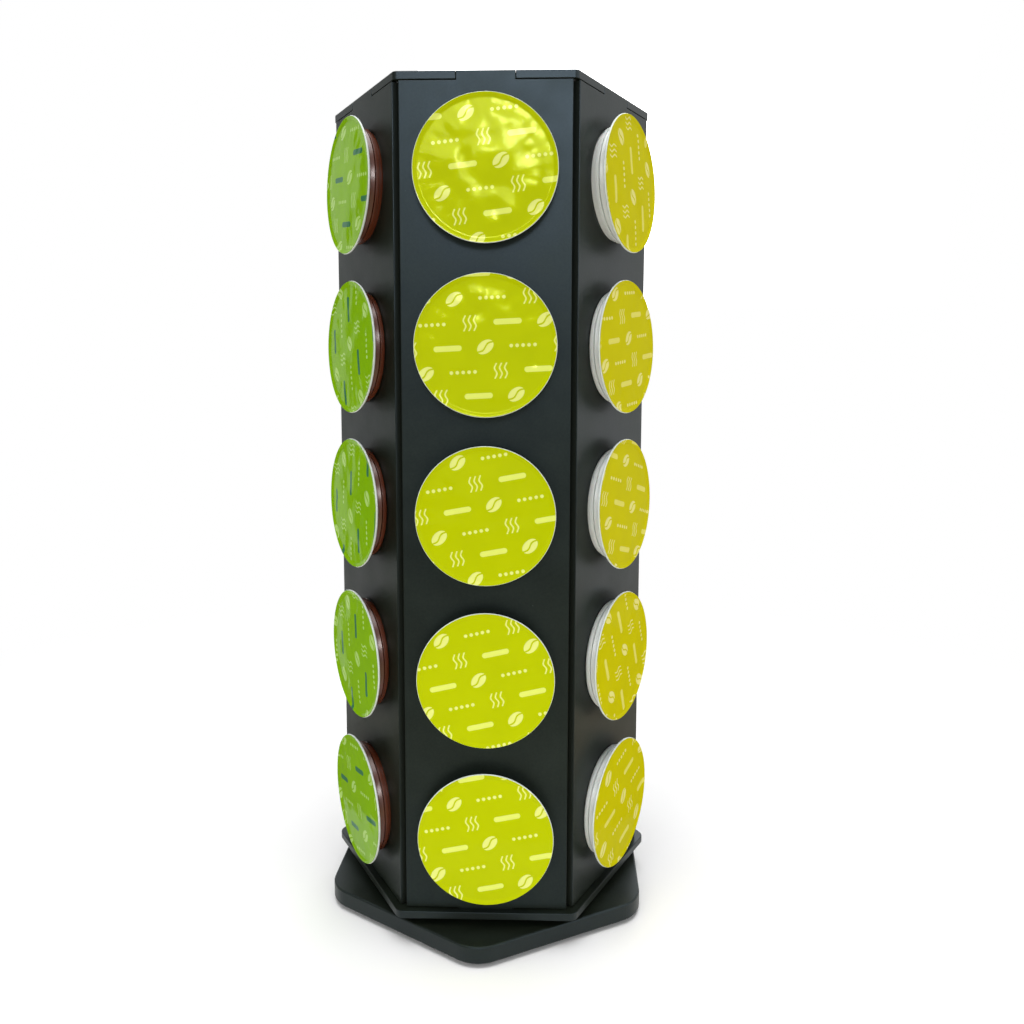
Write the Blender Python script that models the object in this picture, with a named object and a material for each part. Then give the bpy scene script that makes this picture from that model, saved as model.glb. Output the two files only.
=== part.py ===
# Coffee capsule dispenser: a six-sided tower of thin black board that turns on a thicker base.
# Each side has a column of round holes, and a capsule stands in a hole with its foil outwards.
# Metres, +Z up. The origin is on the turning axis, on the surface that the foot pads stand on.
# The front side faces -Y, the right one is the next side towards +X.

import bpy
import bmesh
from math import cos, pi, radians, sin, tan
from mathutils import Matrix, Vector

mm = 0.001

# Capsule
capsule_stand_out = 6.5 * mm        # of the foil in front of the panel
capsule_length = 36.0 * mm          # from the foil to the cup's end
foil_inset = 0.55 * mm              # of the foil's rim from the flange's
foil_thickness = 0.3 * mm
flange_width = 4.15 * mm            # of the flange past the collar
flange_thickness = 1.0 * mm
collar_overlap = 0.6 * mm           # of the collar over the rim of the hole
collar_wall = 1.4 * mm
cup_wall = 1.0 * mm
cup_taper = 4.2 * mm                # how much the cup narrows from the hole to its shoulder
cup_chamfer_width = 3.3 * mm        # from the shoulder to the flat end
cup_chamfer_length = 4.0 * mm
cup_side_clearance = 1.68 * mm      # from a shoulder to the plane halfway to the next side's cup

# Tower
side_count = 6
row_count = 5
board_thickness = 3.0 * mm
hole_radius = 22.0 * mm
flange_gap = 10.7 * mm              # between the flanges of neighbouring rows
hole_end_margin = 10.6 * mm         # from the last hole's rim to the panel's end
tab_width = 22.0 * mm
lid_corner_radius = 2.0 * mm
floor_overhang = 2.8 * mm           # of the floor plate past the panels
floor_corner_radius = 4.5 * mm

# Base
base_overhang = 5.0 * mm            # of the base plate past the floor plate, were they in line
base_corner_radius = 14.8 * mm
base_thickness = 7.0 * mm
base_turn = radians(27.1)           # of the base against the tower
foot_radius = 6.0 * mm
foot_thickness = 1.5 * mm
foot_inset = 6.0 * mm               # from a corner of the base to the pad's rim

# Glide ring between base and floor plate
glide_outer_radius = 45.0 * mm
glide_width = 14.0 * mm
glide_thickness = 2.4 * mm

# Pivot
screw_radius = 2.5 * mm
screw_head_overlap = 2.25 * mm      # of the head past the shank
screw_head_height = 3.0 * mm
screw_socket_radius = 1.75 * mm
screw_socket_depth = 1.8 * mm
screw_end_gap = 1.0 * mm            # between the screw's end and the insert's lower end
insert_wall = 1.2 * mm
insert_floor = 1.0 * mm             # of the base plate under the insert
bush_wall = 1.7 * mm
bush_flange_width = 4.5 * mm
bush_flange_thickness = 1.5 * mm
washer_width = 4.7 * mm
washer_thickness = 1.0 * mm

# Between pieces
seat_gap = 0.3 * mm                 # between pieces that rest on or in each other
glue_line = 0.15 * mm               # where two panels meet
cut_overrun = 2.0 * mm              # how far a cutter reaches past what it cuts
merge_distance = 0.01 * mm

# Fineness of round stretches
round_steps = 24
small_round_steps = 16
corner_steps = 4

# The capsule, worked out from the sizes above
collar_radius = hole_radius + collar_overlap
flange_radius = collar_radius + flange_width
foil_radius = flange_radius - foil_inset
cup_body_radius = hole_radius - seat_gap
cup_shoulder_radius = cup_body_radius - cup_taper
cup_end_radius = cup_shoulder_radius - cup_chamfer_width

# The tower, as wide as the cups of neighbouring sides need
side_angle = 2 * pi / side_count
half_side_angle = side_angle / 2
shoulder_distance = (cup_shoulder_radius + cup_side_clearance) / tan(half_side_angle)
cup_end_distance = shoulder_distance - cup_chamfer_length
face_distance = cup_end_distance + capsule_length - capsule_stand_out
panel_inner_distance = face_distance - board_thickness
panel_width = 2 * panel_inner_distance * tan(half_side_angle) - glue_line
row_pitch = 2 * flange_radius + flange_gap
panel_height = (row_count - 1) * row_pitch + 2 * (hole_radius + hole_end_margin)
tower_side = 2 * face_distance * tan(half_side_angle)
floor_side = 2 * (face_distance + floor_overhang) * tan(half_side_angle)
base_side = 2 * (face_distance + floor_overhang + base_overhang) * tan(half_side_angle)

# Heights from the standing surface up
base_low = foot_thickness + seat_gap
base_high = base_low + base_thickness
glide_low = base_high + seat_gap
floor_low = glide_low + glide_thickness + seat_gap
floor_high = floor_low + board_thickness
panel_low = floor_high + seat_gap
panel_high = panel_low + panel_height
lid_low = panel_high + seat_gap
lid_high = lid_low + board_thickness
lowest_row = panel_low + hole_end_margin + hole_radius
bush_flange_low = floor_high + seat_gap
washer_low = bush_flange_low + bush_flange_thickness + seat_gap
screw_head_low = washer_low + washer_thickness + seat_gap
insert_low = base_low + insert_floor

# The pivot's bores
bore_radius = screw_radius + seat_gap
bush_radius = bore_radius + bush_wall
insert_radius = bore_radius + insert_wall
bush_flange_radius = bush_radius + bush_flange_width

# The sides in turning order, counted from the front one towards +X.
side_names = ["front", "right", "rear_right", "rear", "rear_left", "left"]

# Which sides hold capsules, with the cup's and the foil's material
loaded_sides = {
    "front": ("white_cup", "lime_foil"),
    "right": ("white_cup", "mustard_foil"),
    "left": ("brown_cup", "green_foil"),
}

# Material: colour, roughness, metallic
finishes = {
    "black_board": ((0.018, 0.020, 0.020), 0.55, 0.0),
    "rubber": ((0.03, 0.03, 0.03), 0.9, 0.0),
    "nylon": ((0.75, 0.75, 0.70), 0.4, 0.0),
    "brass": ((0.60, 0.42, 0.14), 0.35, 1.0),
    "steel": ((0.55, 0.55, 0.55), 0.3, 1.0),
    "white_cup": ((0.78, 0.78, 0.74), 0.35, 0.0),
    "brown_cup": ((0.15, 0.035, 0.018), 0.35, 0.0),
    "lime_foil": ((0.50, 0.60, 0.01), 0.3, 0.2),
    "mustard_foil": ((0.48, 0.45, 0.01), 0.3, 0.2),
    "green_foil": ((0.20, 0.38, 0.01), 0.3, 0.2),
}


def clear_scene():
    for old in list(bpy.data.objects):
        bpy.data.objects.remove(old, do_unlink=True)


def make_material(name):
    colour, roughness, metallic = finishes[name]
    material = bpy.data.materials.new(name)
    material.use_nodes = True
    shader = material.node_tree.nodes["Principled BSDF"]
    shader.inputs["Base Color"].default_value = (*colour, 1.0)
    shader.inputs["Roughness"].default_value = roughness
    shader.inputs["Metallic"].default_value = metallic
    return material


def make_empty(name, parent=None, location=(0, 0, 0), turn=0.0):
    empty = bpy.data.objects.new(name, None)
    empty.location = location
    empty.rotation_euler = (0, 0, turn)
    empty.parent = parent
    bpy.context.collection.objects.link(empty)
    return empty


def make_piece(name, mesh, material, parent=None, location=(0, 0, 0), turn=0.0):
    piece = bpy.data.objects.new(name, mesh)
    if not mesh.materials:
        mesh.materials.append(material)
    piece.location = location
    piece.rotation_euler = (0, 0, turn)
    piece.parent = parent
    bpy.context.collection.objects.link(piece)
    return piece


def finish_mesh(name, bm, smooth=False):
    bmesh.ops.recalc_face_normals(bm, faces=bm.faces)
    mesh = bpy.data.meshes.new(name)
    bm.to_mesh(mesh)
    bm.free()
    if smooth:
        mesh.shade_smooth()
        mesh.set_sharp_from_angle(angle=radians(30))
    return mesh


def extrude_outline(bm, points, offset):
    # One closed prism from the points of its first face and the way it is thick.
    face = bm.faces.new([bm.verts.new(point) for point in points])
    grown = bmesh.ops.extrude_face_region(bm, geom=[face])
    moved = [item for item in grown["geom"] if isinstance(item, bmesh.types.BMVert)]
    bmesh.ops.translate(bm, verts=moved, vec=offset)


def rounded_polygon(side, corner_radius, z):
    # A regular outline with a corner on +X and an arc at each corner.
    corner_distance = side / 2 / sin(half_side_angle)
    arc_distance = corner_distance - corner_radius / cos(half_side_angle)
    points = []
    for corner in range(side_count):
        middle = corner * side_angle
        for step in range(corner_steps + 1):
            angle = middle + half_side_angle * (2 * step / corner_steps - 1)
            points.append((
                arc_distance * cos(middle) + corner_radius * cos(angle),
                arc_distance * sin(middle) + corner_radius * sin(angle),
                z,
            ))
    return points


def turned_mesh(name, profile, steps, along="Z"):
    # A closed ring or cup from its profile, given as (radius, height) points in order.
    bm = bmesh.new()
    verts = [bm.verts.new((radius, 0, height)) for radius, height in profile]
    on_axis = profile[0][0] == 0 and profile[-1][0] == 0
    pairs = list(zip(verts, verts[1:]))
    if not on_axis:
        pairs.append((verts[-1], verts[0]))
    edges = [bm.edges.new(pair) for pair in pairs]
    bmesh.ops.spin(bm, geom=verts + edges, cent=(0, 0, 0), axis=(0, 0, 1), angle=2 * pi,
                   steps=steps, use_merge=True)
    bmesh.ops.remove_doubles(bm, verts=bm.verts, dist=merge_distance)
    if along == "-Y":
        bmesh.ops.rotate(bm, verts=bm.verts, cent=(0, 0, 0), matrix=Matrix.Rotation(pi / 2, 3, "X"))
    return finish_mesh(name, bm, smooth=True)


def ring_profile(inner, outer, low, high):
    return [(inner, low), (outer, low), (outer, high), (inner, high)]


def add_cylinder(bm, radius, low, high, steps, matrix=Matrix()):
    # A cylinder along the matrix's own Z, its first corner on that frame's X.
    placed = matrix @ Matrix.Translation((0, 0, (low + high) / 2))
    bmesh.ops.create_cone(bm, cap_ends=True, segments=steps, radius1=radius, radius2=radius,
                          depth=high - low, matrix=placed)


def cut_mesh(name, mesh, cutter_bm):
    # The mesh less the cutter's volume, as a mesh of its own.
    cutter = bpy.data.objects.new(name + "_cutter", finish_mesh(name + "_cutter", cutter_bm))
    body = bpy.data.objects.new(name + "_blank", mesh)
    for scratch in (cutter, body):
        bpy.context.collection.objects.link(scratch)
    cut = body.modifiers.new("cut", "BOOLEAN")
    cut.operation = "DIFFERENCE"
    cut.solver = "EXACT"
    cut.object = cutter
    bpy.context.view_layer.update()
    shape = body.evaluated_get(bpy.context.evaluated_depsgraph_get())
    result = bpy.data.meshes.new_from_object(shape)
    result.name = name
    for scratch in (cutter, body):
        bpy.data.objects.remove(scratch, do_unlink=True)
    return result


def side_turn(index):
    return index * side_angle


def row_height(row):
    # Row 0 is the top one.
    return lowest_row + (row_count - 1 - row) * row_pitch


def base_plate_mesh():
    bm = bmesh.new()
    points = rounded_polygon(base_side, base_corner_radius, base_low)
    extrude_outline(bm, points, (0, 0, base_thickness))
    hole = bmesh.new()
    add_cylinder(hole, insert_radius + seat_gap, insert_low - seat_gap, base_high + cut_overrun,
                 small_round_steps)
    return cut_mesh("base_plate", finish_mesh("base_plate", bm), hole)


def foot_pad_mesh():
    profile = [(0, 0), (foot_radius, 0), (foot_radius, foot_thickness), (0, foot_thickness)]
    return turned_mesh("foot_pad", profile, small_round_steps)


def foot_distance():
    corner_distance = base_side / 2 / sin(half_side_angle)
    arc_distance = corner_distance - base_corner_radius / cos(half_side_angle)
    return arc_distance + base_corner_radius - foot_inset - foot_radius


def floor_plate_mesh():
    bm = bmesh.new()
    points = rounded_polygon(floor_side, floor_corner_radius, floor_low)
    extrude_outline(bm, points, (0, 0, board_thickness))
    cuts = bmesh.new()
    low, high = floor_low - cut_overrun, floor_high + cut_overrun
    add_cylinder(cuts, bush_radius + seat_gap, low, high, small_round_steps)
    half = tab_width / 2 + seat_gap
    outer = -face_distance - seat_gap
    inner = -panel_inner_distance + seat_gap
    slot = [(-half, outer, low), (half, outer, low), (half, inner, low), (-half, inner, low)]
    for index in range(side_count):
        turn = Matrix.Rotation(side_turn(index), 3, "Z")
        extrude_outline(cuts, [turn @ Vector(point) for point in slot], (0, 0, high - low))
    return cut_mesh("floor_plate", finish_mesh("floor_plate", bm), cuts)


def top_lid_mesh():
    bm = bmesh.new()
    points = rounded_polygon(tower_side, lid_corner_radius, lid_low)
    extrude_outline(bm, points, (0, 0, board_thickness))
    cuts = bmesh.new()
    low, high = lid_low - cut_overrun, lid_high + cut_overrun
    half = tab_width / 2 + seat_gap
    outer = -face_distance - cut_overrun
    inner = -panel_inner_distance + seat_gap
    notch = [(-half, outer, low), (half, outer, low), (half, inner, low), (-half, inner, low)]
    for index in range(side_count):
        turn = Matrix.Rotation(side_turn(index), 3, "Z")
        extrude_outline(cuts, [turn @ Vector(point) for point in notch], (0, 0, high - low))
    return cut_mesh("top_lid", finish_mesh("top_lid", bm), cuts)


def side_panel_mesh():
    # The front panel: a long board with a tab at each end, and the column of holes.
    half = panel_width / 2
    tab = tab_width / 2
    face = -face_distance
    outline = [
        (-half, panel_low), (-tab, panel_low), (-tab, floor_low), (tab, floor_low),
        (tab, panel_low), (half, panel_low), (half, panel_high), (tab, panel_high),
        (tab, lid_high), (-tab, lid_high), (-tab, panel_high), (-half, panel_high),
    ]
    bm = bmesh.new()
    extrude_outline(bm, [(x, face, z) for x, z in outline], (0, board_thickness, 0))
    holes = bmesh.new()
    for row in range(row_count):
        lying = Matrix.Translation((0, 0, row_height(row))) @ Matrix.Rotation(pi / 2, 4, "X")
        add_cylinder(holes, hole_radius, panel_inner_distance - cut_overrun,
                     face_distance + cut_overrun, round_steps, lying)
    return cut_mesh("side_panel", finish_mesh("side_panel", bm), holes)


def glide_ring_mesh():
    profile = ring_profile(glide_outer_radius - glide_width, glide_outer_radius, glide_low,
                           glide_low + glide_thickness)
    return turned_mesh("glide_ring", profile, round_steps)


def threaded_insert_mesh():
    profile = ring_profile(bore_radius, insert_radius, insert_low, base_high)
    return turned_mesh("threaded_insert", profile, small_round_steps)


def pivot_bush_mesh():
    # A sleeve in the floor plate's hole with its flange on the plate.
    flange_high = bush_flange_low + bush_flange_thickness
    profile = [
        (bore_radius, floor_low), (bush_radius, floor_low), (bush_radius, bush_flange_low),
        (bush_flange_radius, bush_flange_low), (bush_flange_radius, flange_high),
        (bore_radius, flange_high),
    ]
    return turned_mesh("pivot_bush", profile, small_round_steps)


def pivot_washer_mesh():
    profile = ring_profile(bore_radius, bore_radius + washer_width, washer_low,
                           washer_low + washer_thickness)
    return turned_mesh("pivot_washer", profile, small_round_steps)


def pivot_screw_mesh():
    # The shank ends inside the threaded insert; the head bears on the washer.
    shank_low = insert_low + screw_end_gap
    head_high = screw_head_low + screw_head_height
    head_radius = screw_radius + screw_head_overlap
    socket_low = head_high - screw_socket_depth
    profile = [
        (0, shank_low), (screw_radius, shank_low), (screw_radius, screw_head_low),
        (head_radius, screw_head_low), (head_radius, head_high),
        (screw_socket_radius, head_high), (screw_socket_radius, socket_low), (0, socket_low),
    ]
    return turned_mesh("pivot_screw", profile, small_round_steps)


def capsule_cup_mesh():
    # Heights run outwards from the turning axis. The collar bears on the panel round its hole.
    flange_high = face_distance + capsule_stand_out - foil_thickness - seat_gap
    flange_low = flange_high - flange_thickness
    collar_low = face_distance + seat_gap
    profile = [
        (0, cup_end_distance), (cup_end_radius, cup_end_distance),
        (cup_shoulder_radius, shoulder_distance), (cup_body_radius, collar_low),
        (collar_radius, collar_low), (collar_radius, flange_low), (flange_radius, flange_low),
        (flange_radius, flange_high), (collar_radius - collar_wall, flange_high),
        (cup_shoulder_radius - cup_wall, shoulder_distance),
        (cup_end_radius - cup_wall / 2, cup_end_distance + cup_wall),
        (0, cup_end_distance + cup_wall),
    ]
    return turned_mesh("capsule_cup", profile, round_steps, along="-Y")


def capsule_foil_mesh():
    high = face_distance + capsule_stand_out
    low = high - foil_thickness
    profile = [(0, low), (foil_radius, low), (foil_radius, high), (0, high)]
    return turned_mesh("capsule_foil", profile, round_steps, along="-Y")


def build_base(materials):
    base = make_empty("base_axis", turn=base_turn)
    make_piece("base_plate", base_plate_mesh(), materials["black_board"], base)
    pad = foot_pad_mesh()
    for corner in range(side_count):
        angle = corner * side_angle
        place = (foot_distance() * cos(angle), foot_distance() * sin(angle), 0)
        make_piece(f"foot_pad_{corner + 1}", pad, materials["rubber"], base, place)
    make_piece("glide_ring", glide_ring_mesh(), materials["nylon"], base)
    make_piece("threaded_insert", threaded_insert_mesh(), materials["brass"], base)
    make_piece("pivot_screw", pivot_screw_mesh(), materials["steel"], base)
    make_piece("pivot_washer", pivot_washer_mesh(), materials["steel"], base)


def build_tower(materials):
    tower = make_empty("tower_axis")
    make_piece("floor_plate", floor_plate_mesh(), materials["black_board"], tower)
    make_piece("pivot_bush", pivot_bush_mesh(), materials["nylon"], tower)
    make_piece("top_lid", top_lid_mesh(), materials["black_board"], tower)
    panel = side_panel_mesh()
    for index, side in enumerate(side_names):
        make_piece(f"side_panel_{side}", panel, materials["black_board"], tower,
                   turn=side_turn(index))
    return tower


def build_capsules(materials, tower):
    # Each capsule hangs on an empty on its own line of travel.
    foil = capsule_foil_mesh()
    cup = capsule_cup_mesh()
    for side, (cup_finish, foil_finish) in loaded_sides.items():
        turn = side_turn(side_names.index(side))
        side_cup = cup.copy()
        side_foil = foil.copy()
        for row in range(row_count):
            line = make_empty(f"capsule_line_{side}_{row + 1}", tower, (0, 0, row_height(row)), turn)
            make_piece(f"capsule_cup_{side}_{row + 1}", side_cup, materials[cup_finish], line)
            make_piece(f"capsule_foil_{side}_{row + 1}", side_foil, materials[foil_finish], line)


def main():
    clear_scene()
    materials = {name: make_material(name) for name in finishes}
    build_base(materials)
    tower = build_tower(materials)
    build_capsules(materials, tower)


main()
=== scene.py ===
# Looks of the coffee capsule dispenser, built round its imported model.
import random
from math import cos, exp, pi, radians, sin, sqrt, tan

import bmesh
import bpy
from mathutils import Matrix, Vector, noise


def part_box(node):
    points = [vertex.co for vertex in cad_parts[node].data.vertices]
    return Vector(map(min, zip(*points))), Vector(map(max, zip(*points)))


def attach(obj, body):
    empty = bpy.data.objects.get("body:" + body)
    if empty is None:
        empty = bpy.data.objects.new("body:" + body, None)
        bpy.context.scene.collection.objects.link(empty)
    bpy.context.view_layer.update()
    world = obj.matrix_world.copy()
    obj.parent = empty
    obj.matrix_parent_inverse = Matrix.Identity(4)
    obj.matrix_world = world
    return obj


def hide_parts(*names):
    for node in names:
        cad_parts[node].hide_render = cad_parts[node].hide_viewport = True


mm = 0.001
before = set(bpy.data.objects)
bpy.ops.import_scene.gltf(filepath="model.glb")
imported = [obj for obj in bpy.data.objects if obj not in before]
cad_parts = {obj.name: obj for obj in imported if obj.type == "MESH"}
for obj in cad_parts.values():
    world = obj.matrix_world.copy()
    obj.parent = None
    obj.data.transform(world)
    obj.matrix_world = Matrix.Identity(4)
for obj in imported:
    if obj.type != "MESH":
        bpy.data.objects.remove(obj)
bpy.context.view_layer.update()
print("frame loaded:", len(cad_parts), "nodes")

# Sides in turning order, from the front one towards +X, and rows from the top.
sides = ["front", "right", "rear_right", "rear", "rear_left", "left"]
sideAngle = 2 * pi / len(sides)
rows = [1, 2, 3, 4, 5]
frontLow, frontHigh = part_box("side_panel_front")
faceDistance = -frontLow.y                      # from the turning axis to a panel's face
boardThickness = frontHigh.y - frontLow.y
rowHeights = {row: sum(corner.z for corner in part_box(f"capsule_cup_front_{row}")) / 2 for row in rows}


def camelName(*words):
    joined = "_".join(str(word) for word in words).split("_")
    return joined[0] + "".join(word[0].upper() + word[1:] for word in joined[1:])


def hexColour(code):
    # sRGB hex to the linear colour that a shader takes
    channels = [int(code[start:start + 2], 16) / 255 for start in (1, 3, 5)]
    return [c / 12.92 if c <= 0.04045 else ((c + 0.055) / 1.055) ** 2.4 for c in channels] + [1.0]


def addNode(tree, kind, sockets=None, **settings):
    # one node with its settings; a socket given for a socket becomes a link
    made = tree.nodes.new(kind)
    for key, value in settings.items():
        setattr(made, key, value)
    for key, value in (sockets or {}).items():
        if isinstance(value, bpy.types.NodeSocket):
            tree.links.new(value, made.inputs[key])
        else:
            made.inputs[key].default_value = value
    return made


def newMaterial(name, shaderSockets):
    material = bpy.data.materials.new(name)
    material.use_nodes = True
    tree = material.node_tree
    shader = tree.nodes["Principled BSDF"]
    for key, value in shaderSockets.items():
        shader.inputs[key].default_value = value
    return material, tree, shader


# Materials

mixA, mixB, mixed = 6, 7, 2     # a Mix node's two colour inputs and its colour output, by number

boardFinish = {
    "dark": "#131710", "pale": "#1C2119",
    "cloudSize": 14 * mm,       # soft patches in the lacquer
    "fibreSize": 0.9 * mm,      # fibres under the lacquer, drawn coarser than the real 0.2 mm
    "fibreHeight": 0.2 * mm,
    "toneSpan": (0.7, 1.3),     # of patches and fibres together, from the dark colour to the pale one
    "fleckPitch": 5.0 * mm,     # from one dust fleck to the next, and a fleck's radius as a share of that
    "fleckShare": 0.018, "fleck": "#5B6363",
    "roughness": (0.34, 0.41),  # over the span of the patches
    "cloudSpan": (0.3, 0.7),
    # the blue tint of the sheen is painted light: it stands in for the cool light that the lacquer
    # reflects, and is not the lacquer's own
    "bump": 0.10, "specular": 0.25, "sheen": "#C6E2FC",
}


def blackBoardMaterial():
    # Black lacquered MDF: satin, a dense grey-black with a faint fibre relief and a few pale flecks
    look = boardFinish
    material, tree, shader = newMaterial("blackLacqueredMdf", {
        "Specular IOR Level": look["specular"], "Specular Tint": hexColour(look["sheen"])})
    place = addNode(tree, "ShaderNodeTexCoord").outputs["Object"]
    cloud = addNode(tree, "ShaderNodeTexNoise", {
        "Vector": place, "Scale": 1 / look["cloudSize"], "Detail": 4.0})
    fibre = addNode(tree, "ShaderNodeTexNoise", {
        "Vector": place, "Scale": 1 / look["fibreSize"], "Detail": 3.0, "Roughness": 0.7})
    both = addNode(tree, "ShaderNodeMath", {0: cloud.outputs["Fac"], 1: fibre.outputs["Fac"]},
                   operation="ADD")
    darkest, palest = look["toneSpan"]
    tone = addNode(tree, "ShaderNodeMapRange", {
        "Value": both.outputs[0], "From Min": darkest, "From Max": palest})
    colour = addNode(tree, "ShaderNodeMix", {
        "Factor": tone.outputs["Result"], mixA: hexColour(look["dark"]), mixB: hexColour(look["pale"])},
        data_type="RGBA")
    fleck = addNode(tree, "ShaderNodeTexVoronoi", {"Vector": place, "Scale": 1 / look["fleckPitch"]})
    spot = addNode(tree, "ShaderNodeMath", {0: fleck.outputs["Distance"], 1: look["fleckShare"]},
                   operation="LESS_THAN")
    flecked = addNode(tree, "ShaderNodeMix", {
        "Factor": spot.outputs[0], mixA: colour.outputs[mixed], mixB: hexColour(look["fleck"])},
        data_type="RGBA")
    tree.links.new(flecked.outputs[mixed], shader.inputs["Base Color"])
    least, most = look["cloudSpan"]
    low, high = look["roughness"]
    rough = addNode(tree, "ShaderNodeMapRange", {
        "Value": cloud.outputs["Fac"], "From Min": least, "From Max": most, "To Min": low, "To Max": high})
    tree.links.new(rough.outputs["Result"], shader.inputs["Roughness"])
    bump = addNode(tree, "ShaderNodeBump", {"Height": fibre.outputs["Fac"], "Strength": look["bump"],
                                            "Distance": look["fibreHeight"]})
    tree.links.new(bump.outputs["Normal"], shader.inputs["Normal"])
    return material


edgeFinish = {
    "dark": "#13160F", "pale": "#1D2018",
    "scorchSize": 0.7 * mm,     # the laser's pulse marks, drawn coarser than the real 0.1 mm
    "scorchHeight": 0.1 * mm,
    # the same painted blue tint of the sheen, standing in for reflected cool light
    "roughness": 0.38, "bump": 0.15, "specular": 0.32, "sheen": "#C6E2FC",
}


def cutEdgeMaterial():
    # Laser-cut MDF edge, painted over: close to the faces in tone, with fine marks all over it
    look = edgeFinish
    material, tree, shader = newMaterial("laserCutMdfEdge", {
        "Roughness": look["roughness"], "Specular IOR Level": look["specular"],
        "Specular Tint": hexColour(look["sheen"])})
    place = addNode(tree, "ShaderNodeTexCoord").outputs["Object"]
    marks = addNode(tree, "ShaderNodeTexNoise", {
        "Vector": place, "Scale": 1 / look["scorchSize"], "Detail": 2.0})
    colour = addNode(tree, "ShaderNodeMix", {
        "Factor": marks.outputs["Fac"], mixA: hexColour(look["dark"]), mixB: hexColour(look["pale"])},
        data_type="RGBA")
    tree.links.new(colour.outputs[mixed], shader.inputs["Base Color"])
    bump = addNode(tree, "ShaderNodeBump", {"Height": marks.outputs["Fac"], "Strength": look["bump"],
                                            "Distance": look["scorchHeight"]})
    tree.links.new(bump.outputs["Normal"], shader.inputs["Normal"])
    return material


def plasticMaterial(name, look):
    # Plastic or rubber: soft streaks of its flow in the mould, and a fine grain in the highlights
    material, tree, shader = newMaterial(name, {
        "Roughness": look["roughness"], "Specular IOR Level": 0.5, "IOR": 1.49,
        "Subsurface Weight": look["waxy"], "Subsurface Scale": 1.0 * mm})
    place = addNode(tree, "ShaderNodeTexCoord").outputs["Object"]
    flow = addNode(tree, "ShaderNodeTexNoise", {
        "Vector": place, "Scale": 1 / look["flowSize"], "Detail": 2.0})
    colour = addNode(tree, "ShaderNodeMix", {
        "Factor": flow.outputs["Fac"], mixA: hexColour(look["dark"]), mixB: hexColour(look["pale"])},
        data_type="RGBA")
    tree.links.new(colour.outputs[mixed], shader.inputs["Base Color"])
    peel = addNode(tree, "ShaderNodeTexNoise", {
        "Vector": place, "Scale": 1 / look["peelSize"], "Detail": 1.0})
    bump = addNode(tree, "ShaderNodeBump", {"Height": peel.outputs["Fac"], "Strength": look["bump"],
                                            "Distance": peelHeight})
    tree.links.new(bump.outputs["Normal"], shader.inputs["Normal"])
    return material


peelHeight = 0.05 * mm      # of the grain
plasticFinishes = {
    # injection-moulded cups: satin, the white one slightly waxy, with a faint orange peel
    "whitePolypropylene": {"dark": "#DFE4E0", "pale": "#ECF0ED", "roughness": 0.32, "waxy": 0.04,
                           "flowSize": 9 * mm, "peelSize": 1.2 * mm, "bump": 0.15},
    "brownPolypropylene": {"dark": "#582A16", "pale": "#6C3520", "roughness": 0.26, "waxy": 0.0,
                           "flowSize": 9 * mm, "peelSize": 1.2 * mm, "bump": 0.15},
    # the flange's lip, where the foil is heat-sealed: pale and a little uneven
    "sealRim": {"dark": "#C6D0CC", "pale": "#E0E7E2", "roughness": 0.35, "waxy": 0.0,
                "flowSize": 2 * mm, "peelSize": 1.0 * mm, "bump": 0.2},
    # turned nylon of the glide ring and the bush: off-white, dull, slightly see-through at its edges
    "turnedNylon": {"dark": "#CFCBBC", "pale": "#DEDBCE", "roughness": 0.42, "waxy": 0.1,
                    "flowSize": 4 * mm, "peelSize": 0.5 * mm, "bump": 0.2},
    # stamped rubber of the feet: matt, finely pitted
    "blackRubber": {"dark": "#141414", "pale": "#1E1E1D", "roughness": 0.85, "waxy": 0.0,
                    "flowSize": 3 * mm, "peelSize": 0.4 * mm, "bump": 0.5},
}


def metalMaterial(name, look):
    # Turned metal: fine rings of tool marks round the turning axis break up its highlight
    material, tree, shader = newMaterial(name, {"Metallic": 1.0, "Base Color": hexColour(look["colour"])})
    place = addNode(tree, "ShaderNodeTexCoord").outputs["Object"]
    rings = addNode(tree, "ShaderNodeTexWave", {
        "Vector": place, "Scale": wavePitch / look["ringPitch"], "Distortion": 0.6},
        wave_type="RINGS", rings_direction="Z")
    grain = addNode(tree, "ShaderNodeTexNoise", {
        "Vector": place, "Scale": 1 / look["grainSize"], "Detail": 2.0})
    low, high = look["roughness"]
    rough = addNode(tree, "ShaderNodeMapRange", {
        "Value": grain.outputs["Fac"], "To Min": low, "To Max": high})
    tree.links.new(rough.outputs["Result"], shader.inputs["Roughness"])
    bump = addNode(tree, "ShaderNodeBump", {"Height": rings.outputs["Fac"], "Strength": look["bump"],
                                            "Distance": look["ringHeight"]})
    tree.links.new(bump.outputs["Normal"], shader.inputs["Normal"])
    return material


wavePitch = 0.314           # a wave texture's own pitch at scale 1
metalFinishes = {
    # the rings are drawn coarser than the real tool marks, which are 0.1 to 0.2 mm apart
    "turnedBrass": {"colour": "#C9A25A", "roughness": (0.22, 0.40), "grainSize": 0.8 * mm,
                    "ringPitch": 2.512 * mm, "ringHeight": 0.03 * mm, "bump": 0.2},
    "zincPlatedSteel": {"colour": "#B9BBBC", "roughness": (0.26, 0.44), "grainSize": 0.8 * mm,
                        "ringPitch": 3.14 * mm, "ringHeight": 0.03 * mm, "bump": 0.2},
}

# The print on the foils: a staggered lattice of small generic motifs, sizes in mm
printLayout = {
    "cellWidth": 14.0, "cellHeight": 9.0, "rowShift": 0.38,
    "beanLength": 3.4, "beanWidth": 2.3, "beanTilt": radians(34), "splitWidth": 0.32, "splitBend": 0.5,
    "dotPitch": 2.2, "dotRadius": 0.68, "dotReach": 5.5,
    "steamPitch": 1.9, "steamWidth": 0.30, "steamHeight": 2.9, "steamReach": 2.85,
    "steamSway": 0.4, "steamWave": 1.5,         # how far the wisps sway, and the sway's radians per mm
    "barReach": 4.2, "barWidth": 1.05,
    "kinds": 4, "kindShift": 2,     # kinds of motif, and how many of them each row is shifted by
}


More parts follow.
